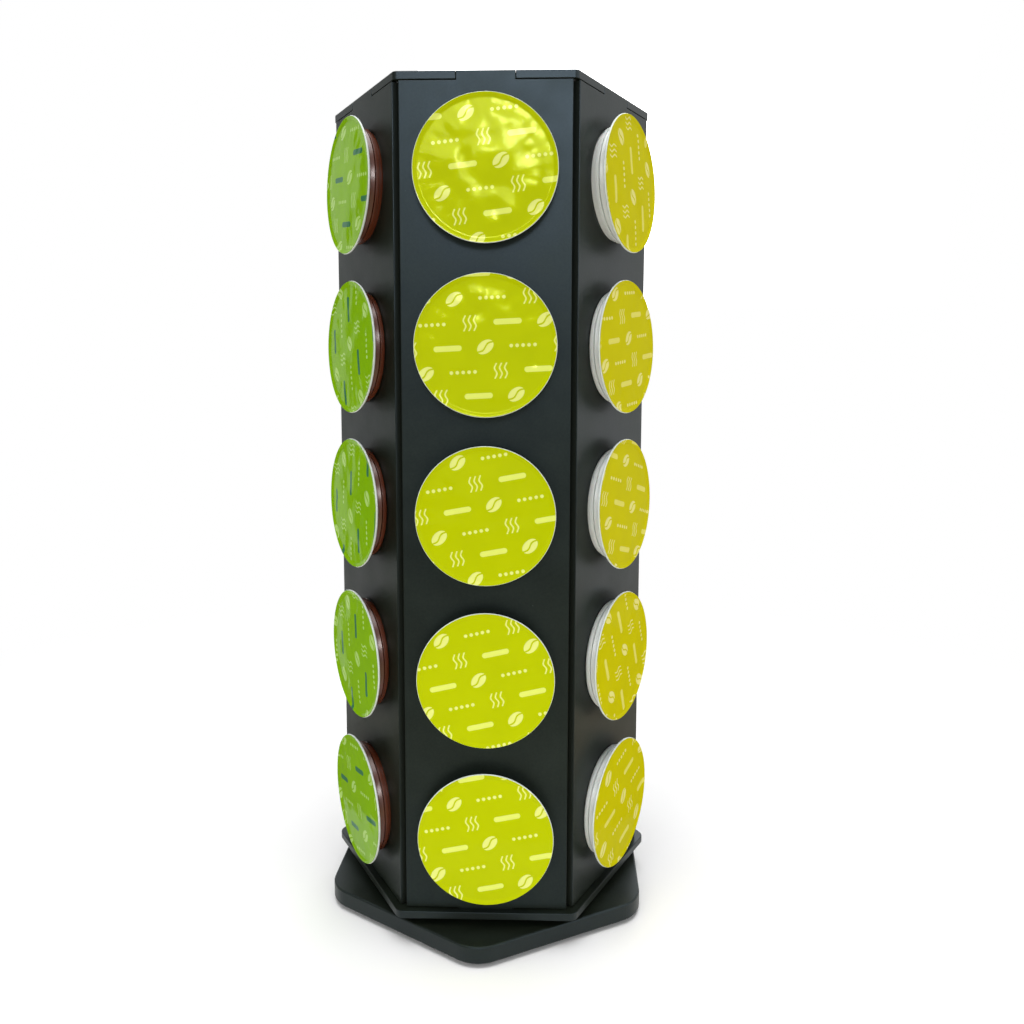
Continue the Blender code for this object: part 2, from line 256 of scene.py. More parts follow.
def printMasks(tree, layout):
    # Masks for the pale motifs and for the bars, over the foil's own UV map, which is in millimetres.
    # Each step is a name, a Math operation and its values, which may be the names of earlier steps.
    tilt = layout["beanTilt"]
    steps = [
        ("rowPlace", "DIVIDE", "y", layout["cellHeight"]),
        ("row", "FLOOR", "rowPlace"),
        ("columnPlace", "DIVIDE", "x", layout["cellWidth"]),
        ("columnPlace", "MULTIPLY_ADD", "row", layout["rowShift"], "columnPlace"),
        ("column", "FLOOR", "columnPlace"),
        ("across", "FRACT", "columnPlace"),
        ("across", "SUBTRACT", "across", 0.5),
        ("across", "MULTIPLY", "across", layout["cellWidth"]),
        ("up", "FRACT", "rowPlace"),
        ("up", "SUBTRACT", "up", 0.5),
        ("up", "MULTIPLY", "up", layout["cellHeight"]),
        ("acrossAway", "ABSOLUTE", "across"),
        ("upAway", "ABSOLUTE", "up"),
        ("kind", "MULTIPLY_ADD", "row", layout["kindShift"], "column"),
        ("kind", "FLOORED_MODULO", "kind", layout["kinds"]),
        # a coffee bean: a tilted oval with a bent split along it
        ("along", "MULTIPLY", "across", cos(tilt)),
        ("along", "MULTIPLY_ADD", "up", sin(tilt), "along"),
        ("beside", "MULTIPLY", "up", cos(tilt)),
        ("beside", "MULTIPLY_ADD", "across", -sin(tilt), "beside"),
        ("alongShare", "DIVIDE", "along", layout["beanLength"]),
        ("alongShare", "MULTIPLY", "alongShare", "alongShare"),
        ("besideShare", "DIVIDE", "beside", layout["beanWidth"]),
        ("oval", "MULTIPLY_ADD", "besideShare", "besideShare", "alongShare"),
        ("bean", "LESS_THAN", "oval", 1.0),
        ("bend", "SINE", "along"),
        ("split", "MULTIPLY_ADD", "bend", -layout["splitBend"], "beside"),
        ("split", "ABSOLUTE", "split"),
        ("split", "GREATER_THAN", "split", layout["splitWidth"]),
        ("bean", "MULTIPLY", "bean", "split"),
        # a row of dots
        ("dotAway", "PINGPONG", "across", layout["dotPitch"] / 2),
        ("dotAway", "MULTIPLY", "dotAway", "dotAway"),
        ("dotAway", "MULTIPLY_ADD", "up", "up", "dotAway"),
        ("dots", "LESS_THAN", "dotAway", layout["dotRadius"] ** 2),
        ("dotRow", "LESS_THAN", "acrossAway", layout["dotReach"]),
        ("dots", "MULTIPLY", "dots", "dotRow"),
        # wisps of steam
        ("sway", "MULTIPLY", "up", layout["steamWave"]),
        ("sway", "SINE", "sway"),
        ("swayed", "MULTIPLY_ADD", "sway", layout["steamSway"], "across"),
        ("steam", "PINGPONG", "swayed", layout["steamPitch"] / 2),
        ("steam", "LESS_THAN", "steam", layout["steamWidth"]),
        ("steamUp", "LESS_THAN", "upAway", layout["steamHeight"]),
        ("steamAcross", "LESS_THAN", "acrossAway", layout["steamReach"]),
        ("steam", "MULTIPLY", "steam", "steamUp"),
        ("steam", "MULTIPLY", "steam", "steamAcross"),
        # a bar with round ends
        ("pastEnd", "SUBTRACT", "acrossAway", layout["barReach"]),
        ("pastEnd", "MAXIMUM", "pastEnd", 0.0),
        ("pastEnd", "MULTIPLY", "pastEnd", "pastEnd"),
        ("barAway", "MULTIPLY_ADD", "up", "up", "pastEnd"),
        ("bar", "LESS_THAN", "barAway", layout["barWidth"] ** 2),
        # each cell takes one kind
        ("isBean", "COMPARE", "kind", 0.0, 0.1),
        ("isDots", "COMPARE", "kind", 1.0, 0.1),
        ("isSteam", "COMPARE", "kind", 2.0, 0.1),
        ("isBar", "COMPARE", "kind", 3.0, 0.1),
        ("pale", "MULTIPLY", "bean", "isBean"),
        ("pale", "MULTIPLY_ADD", "dots", "isDots", "pale"),
        ("pale", "MULTIPLY_ADD", "steam", "isSteam", "pale"),
        ("bars", "MULTIPLY", "bar", "isBar"),
    ]
    uv = addNode(tree, "ShaderNodeUVMap", uv_map="print").outputs["UV"]
    apart = addNode(tree, "ShaderNodeSeparateXYZ", {"Vector": uv})
    made = {"x": apart.outputs["X"], "y": apart.outputs["Y"]}
    for name, operation, *values in steps:
        sockets = {index: made.get(value, value) for index, value in enumerate(values)}
        made[name] = addNode(tree, "ShaderNodeMath", sockets, operation=operation).outputs[0]
    return made["pale"], made["bars"]


# The front and the right capsules carry one printed foil: the lime and the mustard entries are two painted
# copies of it, their colour difference standing in for the light at the front and at the side
foilFinishes = {
    "limePrintedFoil": {"base": "#B9C603", "deep": "#B0BD03",
                        "print": "#F0F596", "bar": "#E4EE76", "coat": 0.09},
    "mustardPrintedFoil": {"base": "#CAC402", "deep": "#C1BB02",
                           "print": "#ECE79A", "bar": "#E2DC70", "coat": 0.08},
    "greenPrintedFoil": {"base": "#80AF02", "deep": "#72A202",
                         "print": "#B4D580", "bar": "#1F5F52", "coat": 0.34},
}
foilGloss = {
    "metallic": 0.03, "specular": 0.0, "roughness": (0.12, 0.20), "coatRoughness": 0.07,
    "inkShare": 0.72, "barShare": 0.85,         # how opaque the pale print and the bars are
    "cloudSize": 11 * mm, "grainSize": 1.6 * mm,
    "crinkleSize": 4 * mm, "crinkleHeight": 0.25 * mm, "crinkle": 0.25,
}


def foilMaterial(name, look, gloss):
    # Lidding foil, printed and heat-sealed: aluminium under opaque ink, with a glossy lacquer on a
    # fine crinkle
    material, tree, shader = newMaterial(name, {
        "Metallic": gloss["metallic"], "Specular IOR Level": gloss["specular"], "Coat Weight": look["coat"],
        "Specular Tint": hexColour(look["base"]), "Coat Roughness": gloss["coatRoughness"]})
    place = addNode(tree, "ShaderNodeTexCoord").outputs["Object"]
    cloud = addNode(tree, "ShaderNodeTexNoise", {
        "Vector": place, "Scale": 1 / gloss["cloudSize"], "Detail": 2.0})
    ground = addNode(tree, "ShaderNodeMix", {
        "Factor": cloud.outputs["Fac"], mixA: hexColour(look["deep"]), mixB: hexColour(look["base"])},
        data_type="RGBA")
    pale, bars = printMasks(tree, printLayout)
    thinPale = addNode(tree, "ShaderNodeMath", {0: pale, 1: gloss["inkShare"]}, operation="MULTIPLY")
    thinBars = addNode(tree, "ShaderNodeMath", {0: bars, 1: gloss["barShare"]}, operation="MULTIPLY")
    printed = addNode(tree, "ShaderNodeMix", {
        "Factor": thinPale.outputs[0], mixA: ground.outputs[mixed], mixB: hexColour(look["print"])},
        data_type="RGBA")
    barred = addNode(tree, "ShaderNodeMix", {
        "Factor": thinBars.outputs[0], mixA: printed.outputs[mixed], mixB: hexColour(look["bar"])},
        data_type="RGBA")
    tree.links.new(barred.outputs[mixed], shader.inputs["Base Color"])
    grain = addNode(tree, "ShaderNodeTexNoise", {
        "Vector": place, "Scale": 1 / gloss["grainSize"], "Detail": 2.0})
    low, high = gloss["roughness"]
    rough = addNode(tree, "ShaderNodeMapRange", {
        "Value": grain.outputs["Fac"], "To Min": low, "To Max": high})
    tree.links.new(rough.outputs["Result"], shader.inputs["Roughness"])
    crinkle = addNode(tree, "ShaderNodeTexNoise", {
        "Vector": place, "Scale": 1 / gloss["crinkleSize"], "Detail": 3.0, "Distortion": 0.6})
    bump = addNode(tree, "ShaderNodeBump", {
        "Height": crinkle.outputs["Fac"], "Strength": gloss["crinkle"], "Distance": gloss["crinkleHeight"]})
    for socket in ("Normal", "Coat Normal"):
        tree.links.new(bump.outputs["Normal"], shader.inputs[socket])
    return material


materials = {"blackLacqueredMdf": blackBoardMaterial(), "laserCutMdfEdge": cutEdgeMaterial()}
materials.update({name: plasticMaterial(name, look) for name, look in plasticFinishes.items()})
materials.update({name: metalMaterial(name, look) for name, look in metalFinishes.items()})
materials.update({name: foilMaterial(name, look, foilGloss) for name, look in foilFinishes.items()})
print("materials made:", len(materials))


# Making pieces

def newObject(name, bm, finishes):
    mesh = bpy.data.meshes.new(name)
    bm.to_mesh(mesh)
    bm.free()
    for finish in finishes:
        mesh.materials.append(finish)
    made = bpy.data.objects.new(name, mesh)
    bpy.context.collection.objects.link(made)
    return made


def finishPiece(name, bm, materialNames, body, nodes, smoothAngle=None):
    # one piece from a bmesh that is already in its place
    piece = newObject(name, bm, [materials[materialName] for materialName in materialNames])
    if smoothAngle:
        piece.data.shade_smooth()
        piece.data.set_sharp_from_angle(angle=smoothAngle)
    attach(piece, body)
    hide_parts(*nodes)


def addLoop(bm, points):
    verts = [bm.verts.new(point) for point in points]
    for first, second in zip(verts, verts[1:] + verts[:1]):
        bm.edges.new((first, second))


plateMaking = {
    "holeSegments": 72,
    "sharpAngle": radians(50),      # edges that turn more than this are eased, unlike a hole's own facets
    "cutFace": 0.5,                 # a face whose normal rises less than this is a cut edge
    "holeWall": 0.2,                # and by a hole, less than this, its wall, which is shaded smooth
    "touch": 0.01 * mm,
}


def plateBmesh(outline, holes, thickness, rim, gluedHalf=None):
    # A flat board in the XY plane, its lower face at z 0: outline points, and holes as (x, y, radius).
    # Its cut edges take the second material, and every rim is eased a little, apart from those of the
    # lower face at gluedHalf to either side, where the board is glued to the next one.
    bm = bmesh.new()
    addLoop(bm, [(x, y, 0) for x, y in outline])
    for x, y, radius in holes:
        bmesh.ops.create_circle(bm, segments=plateMaking["holeSegments"], radius=radius,
                                matrix=Matrix.Translation((x, y, 0)))
    bmesh.ops.triangle_fill(bm, use_beauty=True, use_dissolve=False, edges=bm.edges[:], normal=(0, 0, 1))
    grown = bmesh.ops.extrude_face_region(bm, geom=bm.faces[:])
    top = [item for item in grown["geom"] if isinstance(item, bmesh.types.BMVert)]
    bmesh.ops.translate(bm, verts=top, vec=(0, 0, thickness))
    bmesh.ops.recalc_face_normals(bm, faces=bm.faces[:])
    for face in bm.faces:
        face.material_index = 1 if abs(face.normal.z) < plateMaking["cutFace"] else 0
    sharp = [edge for edge in bm.edges if edge.calc_face_angle(0) > plateMaking["sharpAngle"]]
    if gluedHalf:
        sharp = [edge for edge in sharp if any(
            vert.co.z > rim or abs(abs(vert.co.x) - gluedHalf) > plateMaking["touch"]
            for vert in edge.verts)]
    bmesh.ops.bevel(bm, geom=sharp, offset=rim, offset_type="OFFSET", affect="EDGES", segments=2,
                    profile=0.5, material=-1)
    for face in bm.faces:
        byHole = any((face.calc_center_median().xy - Vector((x, y))).length < radius + rim / 2
                     for x, y, radius in holes)
        face.smooth = byHole and abs(face.normal.z) < plateMaking["holeWall"]
    return bm


def roundedCorners(side, cornerRadius, steps, turn=0.0):
    # the outline of a regular board with a corner on +X and an arc at each corner
    cornerDistance = side / 2 / sin(sideAngle / 2)
    arcDistance = cornerDistance - cornerRadius / cos(sideAngle / 2)
    points = []
    for corner in range(len(sides)):
        middle = corner * sideAngle + turn
        for step in range(steps + 1):
            angle = middle + sideAngle / 2 * (2 * step / steps - 1)
            points.append((arcDistance * cos(middle) + cornerRadius * cos(angle),
                           arcDistance * sin(middle) + cornerRadius * sin(angle)))
    return points


mergeDistance = 0.002 * mm      # of a turned piece's points at its poles


def spunBmesh(profile, steps):
    # A turned piece from (radius, height) points along its section: its seam is merged, a section that
    # starts off the axis is closed to a ring, and one that runs from the axis to the axis is solid
    bm = bmesh.new()
    verts = [bm.verts.new((radius, 0, height)) for radius, height in profile]
    edges = [bm.edges.new(pair) for pair in zip(verts, verts[1:])]
    if profile[0][0] > 0:
        edges.append(bm.edges.new((verts[-1], verts[0])))
    bmesh.ops.spin(bm, geom=verts + edges, cent=(0, 0, 0), axis=(0, 0, 1), angle=2 * pi, steps=steps,
                   use_merge=True)
    bmesh.ops.remove_doubles(bm, verts=bm.verts[:], dist=mergeDistance)
    bmesh.ops.recalc_face_normals(bm, faces=bm.faces[:])
    return bm


def arcPoints(centre, radius, start, end, steps):
    # points of a rounded corner in a turned section, angles in degrees
    return [(centre[0] + radius * cos(radians(start + (end - start) * step / steps)),
             centre[1] + radius * sin(radians(start + (end - start) * step / steps)))
            for step in range(steps + 1)]


# Tower boards

boards = {
    "materials": ["blackLacqueredMdf", "laserCutMdfEdge"],      # of the faces and of the cut edges
    "holeRadius": 22.0 * mm,
    "tabWidth": 22.0 * mm,
    "tabGap": 0.3 * mm,         # under the lid and over the floor plate
    "notchGap": 0.06 * mm,      # round the tabs in the lid's notches
    "rim": 0.22 * mm,           # how far the rims are eased
    "glueOverlap": 0.02 * mm,   # of the panels' inner corners, so that no light comes through
    "lidCornerRadius": 2.0 * mm, "lidCornerSteps": 6,
    "floorCornerRadius": 4.5 * mm, "floorCornerSteps": 8,
    "bushHoleRadius": 4.8 * mm,
}


def makePanels():
    low, high = frontLow, frontHigh
    halfWidth = (faceDistance - boardThickness) * tan(sideAngle / 2) + boards["glueOverlap"]
    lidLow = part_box("top_lid")[0].z
    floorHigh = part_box("floor_plate")[1].z
    bottom, top = floorHigh + boards["tabGap"], lidLow - boards["tabGap"]
    tab = boards["tabWidth"] / 2
    outline = [(-halfWidth, bottom), (-tab, bottom), (-tab, low.z), (tab, low.z), (tab, bottom),
               (halfWidth, bottom), (halfWidth, top), (tab, top), (tab, high.z), (-tab, high.z),
               (-tab, top), (-halfWidth, top)]
    holes = [(0, rowHeights[row], boards["holeRadius"]) for row in rows]
    for index, side in enumerate(sides):
        bm = plateBmesh(outline, holes, boardThickness, boards["rim"], halfWidth)
        # stands the board up with its face outwards, then turns it to its side
        stand = Matrix.Translation((0, low.y + boardThickness, 0)) @ Matrix.Rotation(pi / 2, 4, "X")
        turn = Matrix.Rotation(index * sideAngle, 4, "Z")
        bmesh.ops.transform(bm, verts=bm.verts[:], matrix=turn @ stand)
        finishPiece(camelName("panel", side), bm, boards["materials"], "tower", [f"side_panel_{side}"])


def notchedOutline(side, cornerRadius, steps, notchDepth, notchHalf):
    # a rounded hexagon with a notch in the middle of each side
    points = []
    rounded = roundedCorners(side, cornerRadius, steps)
    perCorner = steps + 1
    edgeDistance = side / 2 / tan(sideAngle / 2)
    notch = [(0, -notchHalf), (notchDepth, -notchHalf), (notchDepth, notchHalf), (0, notchHalf)]
    for corner in range(len(sides)):
        points += rounded[corner * perCorner:(corner + 1) * perCorner]
        middle = corner * sideAngle + sideAngle / 2
        outward, along = Vector((cos(middle), sin(middle))), Vector((-sin(middle), cos(middle)))
        for depth, shift in notch:
            points.append(tuple(outward * (edgeDistance - depth) + along * shift))
    return points


def makeLid():
    low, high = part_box("top_lid")
    side = 2 * faceDistance * tan(sideAngle / 2)
    gap = boards["notchGap"]
    outline = notchedOutline(side, boards["lidCornerRadius"], boards["lidCornerSteps"],
                             boardThickness + gap, boards["tabWidth"] / 2 + gap)
    bm = plateBmesh(outline, [], high.z - low.z, boards["rim"])
    bmesh.ops.translate(bm, verts=bm.verts[:], vec=(0, 0, low.z))
    finishPiece("lid", bm, boards["materials"], "tower", ["top_lid"])


def makeFloorPlate():
    low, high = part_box("floor_plate")
    side = 2 * high.y * tan(sideAngle / 2)
    outline = roundedCorners(side, boards["floorCornerRadius"], boards["floorCornerSteps"])
    bm = plateBmesh(outline, [(0, 0, boards["bushHoleRadius"])], high.z - low.z, boards["rim"])
    bmesh.ops.translate(bm, verts=bm.verts[:], vec=(0, 0, low.z))
    finishPiece("floorPlate", bm, boards["materials"], "tower", ["floor_plate"])


makePanels()
makeLid()
makeFloorPlate()
print("tower boards made")

# Base

base = {
    "turn": radians(27.1),
    "cornerRadius": 14.8 * mm,
    "rim": 0.6 * mm,
    "overhang": 5.0 * mm,       # past the floor plate, were the two in line
    "cornerSteps": 12,
    "padRim": 0.4 * mm, "padRimSteps": 3,
    "padSteps": 32,
    "padSharpAngle": radians(35),
}


def makeBase():
    low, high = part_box("base_plate")
    side = 2 * (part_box("floor_plate")[1].y + base["overhang"]) * tan(sideAngle / 2)
    outline = roundedCorners(side, base["cornerRadius"], base["cornerSteps"], base["turn"])
    # the arcs are finer than the CAD's, so the outline is held to the node's own reach
    fit = high.y / max(y for x, y in outline)
    bm = plateBmesh([(x * fit, y * fit) for x, y in outline], [], high.z - low.z, base["rim"])
    bmesh.ops.translate(bm, verts=bm.verts[:], vec=(0, 0, low.z))
    finishPiece("basePlate", bm, boards["materials"], "base", ["base_plate"])
    for pad in range(1, len(sides) + 1):
        low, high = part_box(f"foot_pad_{pad}")
        radius, thick, rim = (high.x - low.x) / 2, high.z - low.z, base["padRim"]
        profile = [(0, 0)] + arcPoints((radius - rim, rim), rim, -90, 0, base["padRimSteps"])
        profile += arcPoints((radius - rim, thick - rim), rim, 0, 90, base["padRimSteps"]) + [(0, thick)]
        bm = spunBmesh(profile, base["padSteps"])
        middle = (low + high) / 2
        bmesh.ops.translate(bm, verts=bm.verts[:], vec=(middle.x, middle.y, low.z))
        finishPiece(f"footPad{pad}", bm, ["blackRubber"], "base", [f"foot_pad_{pad}"],
                    base["padSharpAngle"])


makeBase()
print("base made")

# Capsules

capsule = {
    "steps": 96,
    "collarLip": 0.6 * mm,      # of the collar over the hole's rim
    "holeGap": 0.3 * mm,        # round the cup in its hole
    "settle": 0.2 * mm,         # how far it sinks onto the lower side of the hole
    # the cup's end, as radius and height over the end: a sunken middle in a small ring, a groove, and
    # then arcs as centre, radius, two angles and steps, for both sides of its rim and the shoulder
    "end": ((0, 1.3 * mm), (3.6 * mm, 1.3 * mm), (4.2 * mm, 0.5 * mm), (5.4 * mm, 0.5 * mm),
            (5.8 * mm, 1.6 * mm), (10.6 * mm, 1.6 * mm)),
    "endArcs": (((11.6 * mm, 0.5 * mm), 0.5 * mm, 180, 270, 3),
                ((13.6 * mm, 0.8 * mm), 0.8 * mm, -90, -48, 3),
                ((16.2 * mm, 4.3 * mm), 1.3 * mm, -48, -8, 4)),
    "endInside": ((16.5 * mm, 4.0 * mm), (13.4 * mm, 2.6 * mm), (0, 2.6 * mm)),
    "step": ((1.6 * mm, 15.0 * mm), (1.15 * mm, 15.6 * mm)),    # in the wall: in from the body, off the end
    "straight": (-0.5 * mm, 0.1 * mm),      # of the body in its hole: from and to, off the panel
    # raised bands round the collar: from and to, off the panel, and their taper towards the flange
    "bands": ((0.3 * mm, 1.75 * mm, 0.0), (2.25 * mm, 5.0 * mm, 1.0 * mm)),
    "frontBandLift": 0.25 * mm,     # of the outer band over the other one
    "bandRound": 0.12 * mm, "bandSteps": 4,
    "grooveDepth": 0.95 * mm,
    "flangeEdge": 0.95 * mm, "flangeEdgeSteps": 8,
    "flangeChamfer": 0.15 * mm,     # where the flange meets the groove
    "lipWidth": 0.6 * mm,       # the flat ring that the foil is sealed to
    "lipSlope": 0.3 * mm,
    "flangeFloor": 0.2 * mm,    # inside the lip, over the flange's back
    "mouth": ((0.6 * mm, 0.2 * mm), (0.9 * mm, -1.2 * mm)),     # in from the groove, over the flange's back
    "wall": 0.9 * mm, "innerTaper": 0.4 * mm,
    "foilThickness": 0.08 * mm,
    "foilRoom": 0.12 * mm,      # from the flange to the front of the CAD's foil
    "sharpAngle": radians(32),
}


def cupProfile(row):
    # The section of a cup, radius against distance from the turning axis, from its end outwards
    cupLow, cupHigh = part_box(f"capsule_cup_front_{row}")
    end = -cupHigh.y
    front = -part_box(f"capsule_foil_front_{row}")[0].y - capsule["foilRoom"]
    flangeRadius = (cupHigh.x - cupLow.x) / 2
    collar = boards["holeRadius"] + capsule["collarLip"]
    neck, curve = collar - capsule["grooveDepth"], capsule["bandRound"]
    body = boards["holeRadius"] - capsule["holeGap"]
    edge = capsule["flangeEdge"] / 2
    back = front - capsule["flangeEdge"]
    outer = [(radius, end + height) for radius, height in capsule["end"]]
    for (middle, height), radius, first, last, steps in capsule["endArcs"]:
        outer += arcPoints((middle, end + height), radius, first, last, steps)
    outer += [(body - depth, end + height) for depth, height in capsule["step"]]
    outer += [(body, faceDistance + height) for height in capsule["straight"]]
    for low, high, taper in capsule["bands"]:
        start = collar - curve + (capsule["frontBandLift"] if taper else 0)
        outer += [(neck, faceDistance + low)]
        outer += arcPoints((start, faceDistance + low + curve), curve, -90, 0, capsule["bandSteps"])
        outer += arcPoints((start - taper, faceDistance + high - curve), curve, 0, 90, capsule["bandSteps"])
        outer += [(neck, faceDistance + high)]
    outer += [(neck, back - capsule["flangeChamfer"]), (neck + capsule["flangeChamfer"], back)]
    outer += arcPoints((flangeRadius - edge, back + edge), edge, -90, 90, capsule["flangeEdgeSteps"])
    lip = flangeRadius - capsule["lipWidth"]
    outer += [(lip, front), (lip - capsule["lipSlope"], back + capsule["flangeFloor"])]
    inner = [(neck - depth, back + height) for depth, height in capsule["mouth"]]
    inner += [(body - capsule["wall"] - capsule["innerTaper"], faceDistance)]
    inner += [(radius, end + height) for radius, height in capsule["endInside"]]
    return outer + inner, flangeRadius


# How each capsule leans in its loose hole, in degrees and seen from outside: its right side lifted off
# the panel, or its left one where negative, and its upper side, or its lower one where negative
seatLean = {
    "front": {1: (-0.4, 0.9), 2: (-0.3, -0.6), 3: (0.0, -0.5), 4: (0.0, -0.8), 5: (0.9, -0.7)},
    "right": {1: (-1.6, -1.2), 2: (0.4, -0.7), 3: (-0.7, -1.0), 4: (-0.2, -0.4), 5: (0.2, 0.3)},
    "left": {1: (1.3, -0.7), 2: (-0.7, -0.5), 3: (-0.75, -0.4), 4: (-0.7, 0.6), 5: (0.6, 0.8)},
}


def leanPiece(bm, side, row):
    # tips a turned piece over the far edge of its collar, so that its other side lifts
    aside, upward = (radians(angle) for angle in seatLean[side][row])
    lifted = Vector((aside, upward, 0))
    contact = -lifted.normalized() * (boards["holeRadius"] + capsule["collarLip"])
    contact.z = faceDistance + capsule["bands"][0][0]
    tip = Matrix.Rotation(lifted.length, 4, lifted.cross(Vector((0, 0, 1))))
    bmesh.ops.transform(bm, verts=bm.verts[:], matrix=Matrix.Translation(contact) @ tip
                        @ Matrix.Translation(-contact))


def placeOnSide(bm, side, row):
    # lays a turned piece along the side's normal at its row, settled into its hole
    leanPiece(bm, side, row)
    lie = Matrix.Rotation(pi / 2, 4, "X")
    turn = Matrix.Rotation(sides.index(side) * sideAngle, 4, "Z")
    lift = Matrix.Translation((0, 0, rowHeights[row] - capsule["settle"]))
    bmesh.ops.transform(bm, verts=bm.verts[:], matrix=lift @ turn @ lie)


def makeCup(side, row, materialName):
    profile, flangeRadius = cupProfile(row)
    bm = spunBmesh(profile, capsule["steps"])
    for face in bm.faces:
        # the flange's outer lip wears the seal's pale finish
        middle = face.calc_center_median()
        face.material_index = 1 if middle.xy.length > flangeRadius - capsule["flangeEdge"] else 0
    placeOnSide(bm, side, row)
    finishPiece(camelName("cup", side, row), bm, [materialName, "sealRim"], f"capsule_{side}_{row}",
                [f"capsule_cup_{side}_{row}"], capsule["sharpAngle"])


foil = {
    "ringWidth": 0.55 * mm,     # spacing of the mesh's rings
    "edge": 0.22 * mm,          # of the flange left bare round the foil
    "frontGap": 0.02 * mm,      # from its sheet to the front of the CAD's foil
    "sealRadius": 26.1 * mm,    # the crimped ring outside it is flat
    "stepWidth": 1.0 * mm,
    "leastSink": 0.3 * mm,      # of the skin's edge under the crimped ring
    "spareSink": 0.1 * mm,      # of that edge past the bulge's height, where that is more
    "dentCount": 7,
    "dentReach": 19 * mm,       # from the middle
    "dentSize": (3.0 * mm, 8.0 * mm),
    "dentOval": (0.5, 1.0),     # a dent's short side as a share of its long one
    "dentDepth": 0.6 * mm,
    "dentRange": (-1.0, 0.6),   # shares of that depth, inwards where negative
    "puckerDepth": 0.07 * mm,
    "puckerCounts": ((9, 17), (20, 31)),    # two sets of folds, the least and most of each
    "puckerStart": 15 * mm, "puckerWidth": 6 * mm,
    "waveDepth": 0.35 * mm, "waveSize": 8 * mm, "waveShift": 10,
    "calmStart": 19 * mm, "calmWidth": 5 * mm,
    "calmShare": 0.35,          # what is left of the relief at the skin's edge
    "sharpAngle": radians(50),
}


def smoothStep(value):
    value = max(0.0, min(1.0, value))
    return value * value * (3 - 2 * value)


# How much each foil is dented, and how far the middle of its skin bulges over its edge
foilWear = {
    "front": {1: (1.0, 0.45 * mm), 2: (0.8, 0.40 * mm), 3: (0.35, 0.2 * mm), 4: (0.3, 0.15 * mm),
              5: (0.25, 0.15 * mm)},
    "right": {1: (0.6, 0.5 * mm), 2: (0.35, 0.4 * mm), 3: (0.6, 0.5 * mm), 4: (0.35, 0.4 * mm),
              5: (0.4, 0.4 * mm)},
    "left": {1: (0.3, 0.5 * mm), 2: (0.35, 0.5 * mm), 3: (0.3, 0.5 * mm), 4: (0.35, 0.5 * mm),
             5: (0.4, 0.5 * mm)},
}


def foilShape(seed, wear, bulge):
    # the height of one foil's skin over its plane at a point, with its own dents and puckers
    draw = random.Random(seed)
    dents = []
    for _ in range(foil["dentCount"]):
        away, angle = foil["dentReach"] * sqrt(draw.random()), draw.uniform(0, 2 * pi)
        size = draw.uniform(*foil["dentSize"])
        depth = foil["dentDepth"] * wear * draw.uniform(*foil["dentRange"])
        dents.append((away * cos(angle), away * sin(angle), size, size * draw.uniform(*foil["dentOval"]),
                      depth, draw.uniform(0, pi)))
    puckers = [(draw.randint(*counts), draw.uniform(0, 2 * pi)) for counts in foil["puckerCounts"]]
    shift = Vector((draw.uniform(-1, 1), draw.uniform(-1, 1), draw.uniform(-1, 1)))
    sink = max(foil["leastSink"], bulge + foil["spareSink"])

    def height(x, y):
        radius = sqrt(x * x + y * y)
        inside = smoothStep((foil["sealRadius"] - radius) / foil["stepWidth"])
        if inside == 0:
            return 0.0
        angle = Vector((x, y)).angle_signed(Vector((1, 0)), 0.0)
        raised = bulge * (1 - (radius / foil["sealRadius"]) ** 2)
        for cx, cy, long, short, depth, turn in dents:
            dx, dy = x - cx, y - cy
            u, v = dx * cos(turn) + dy * sin(turn), dy * cos(turn) - dx * sin(turn)
            raised += depth * exp(-(u / long) ** 2 - (v / short) ** 2)
        rim = smoothStep((radius - foil["puckerStart"]) / foil["puckerWidth"])
        raised += sum(foil["puckerDepth"] * sin(count * angle + phase) for count, phase in puckers) * rim
        wave = noise.noise(Vector((x, y, 0)) / foil["waveSize"] + shift * foil["waveShift"])
        raised += foil["waveDepth"] * wear * wave
        lively = 1 - smoothStep((radius - foil["calmStart"]) / foil["calmWidth"])
        share = foil["calmShare"] + (1 - foil["calmShare"]) * lively
        return inside * (min(raised * share, sink) - sink)

    return height


def makeFoil(side, row, materialName):
    plane = -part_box(f"capsule_foil_front_{row}")[0].y - foil["frontGap"]
    low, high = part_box(f"capsule_cup_front_{row}")
    outerRadius = (high.x - low.x) / 2 - foil["edge"]
    count = round(outerRadius / foil["ringWidth"])
    seed = sides.index(side) * 10 + row     # each foil's own
    bm = spunBmesh([(outerRadius * ring / count, 0) for ring in range(count + 1)], capsule["steps"])
    height = foilShape(seed, *foilWear[side][row])
    printMap = bm.loops.layers.uv.new("print")
    turn, shiftX, shiftY = printPlaces[side][row]
    for face in bm.faces:
        for loop in face.loops:
            x, y = loop.vert.co.x / mm, loop.vert.co.y / mm
            loop[printMap].uv = (x * cos(turn) - y * sin(turn) + shiftX,
                                 x * sin(turn) + y * cos(turn) + shiftY)
    for vert in bm.verts:
        vert.co.z = height(vert.co.x, vert.co.y)
    if bm.faces[0].normal.z < 0:
        bmesh.ops.reverse_faces(bm, faces=bm.faces[:])
    bmesh.ops.solidify(bm, geom=bm.faces[:], thickness=capsule["foilThickness"])
    bmesh.ops.translate(bm, verts=bm.verts[:], vec=(0, 0, plane))
    placeOnSide(bm, side, row)
    finishPiece(camelName("foil", side, row), bm, [materialName], f"capsule_{side}_{row}",
                [f"capsule_foil_{side}_{row}"], foil["sharpAngle"])


